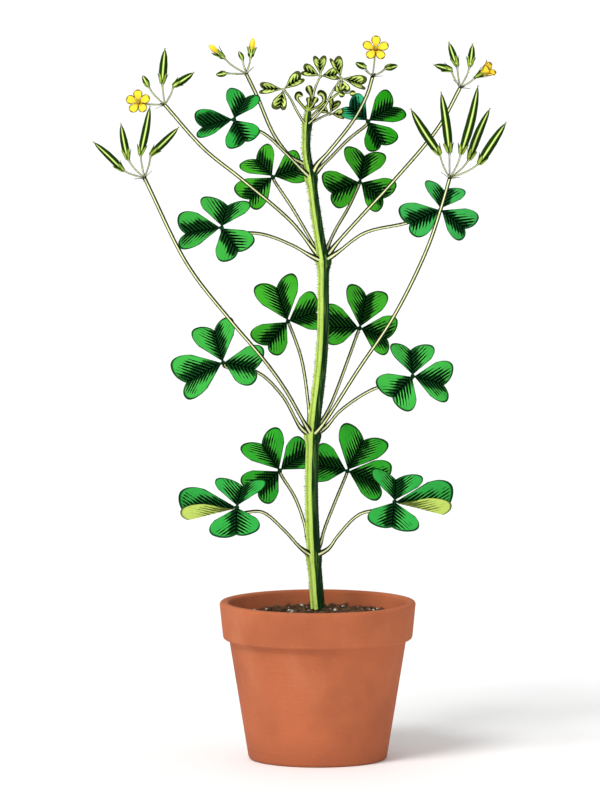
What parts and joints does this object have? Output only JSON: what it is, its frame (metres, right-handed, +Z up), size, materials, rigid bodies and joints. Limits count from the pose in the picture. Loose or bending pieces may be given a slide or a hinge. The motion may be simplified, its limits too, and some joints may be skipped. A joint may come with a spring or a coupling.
{
  "type": "potted plant",
  "caption": "Upright yellow wood sorrel with clover-like leaves of heart-shaped leaflets, ribbed pods and small yellow flowers, standing in a plain terracotta pot of soil.",
  "frame": {"origin": "centre of the pot's foot, on the surface the pot stands on", "axes": "+Z up along the pot and the stem, the plant's face towards -Y, its sprays spread to -X (left) and +X (right)"},
  "size_m": [0.148, 0.0825, 0.2653],
  "materials": {
    "terracotta": "matte fired clay with a chalky bloom",
    "soil": "dark crumbly potting soil",
    "stem_green": "juicy light green stem, finely hairy",
    "stalk_green": "pale yellow-green stalk, satin",
    "leaf_green": "soft matte leaf, darker towards the middle vein",
    "deep_leaf_green": "soft matte leaf, darker and bluer than the others",
    "young_green": "pale yellow-green young leaf, matte",
    "pod_green": "ribbed green pod and its stalk, satin",
    "petal_yellow": "thin silky petal"
  },
  "bodies": {
    "root": {"pot": "terracotta", "soil": "soil", "main_stem": "stem_green", "leaf_1_left_outer_blade": "leaf_green", "leaf_1_left_outer_stalk": "stalk_green", "leaf_1_left_inner_blade": "leaf_green", "leaf_1_left_inner_stalk": "stalk_green", "leaf_1_right_inner_blade": "leaf_green", "leaf_1_right_inner_stalk": "stalk_green", "leaf_1_right_outer_blade": "leaf_green", "leaf_1_right_outer_stalk": "stalk_green", "leaf_2_left_outer_blade": "leaf_green", "leaf_2_left_outer_stalk": "stalk_green", "leaf_2_left_inner_blade": "leaf_green", "leaf_2_left_inner_stalk": "stalk_green", "leaf_2_right_inner_blade": "leaf_green", "leaf_2_right_inner_stalk": "stalk_green", "leaf_2_right_outer_blade": "leaf_green", "leaf_2_right_outer_stalk": "stalk_green", "leaf_3_left_outer_blade": "leaf_green", "leaf_3_left_outer_stalk": "stalk_green", "leaf_3_left_inner_blade": "leaf_green", "leaf_3_left_inner_stalk": "stalk_green", "leaf_3_right_inner_blade": "leaf_green", "leaf_3_right_inner_stalk": "stalk_green", "leaf_3_right_outer_blade": "leaf_green", "leaf_3_right_outer_stalk": "stalk_green", "leaf_4_left_blade": "leaf_green", "leaf_4_left_stalk": "stalk_green", "leaf_4_right_blade": "deep_leaf_green", "leaf_4_right_stalk": "stalk_green", "young_leaf_left": "young_green", "young_leaf_middle": "young_green", "young_leaf_right": "young_green", "young_leaf_low": "young_green", "spray_2_left": "pod_green", "spray_2_right": "pod_green", "spray_3_left": "pod_green", "spray_3_left_flower": "petal_yellow", "spray_3_right": "pod_green", "spray_3_right_flower": "petal_yellow", "spray_4_left": "pod_green", "spray_4_left_bud_petals_1": "petal_yellow", "spray_4_left_bud_petals_2": "petal_yellow", "spray_4_right": "pod_green", "spray_4_right_flower": "petal_yellow"}
  },
  "joints": []
}
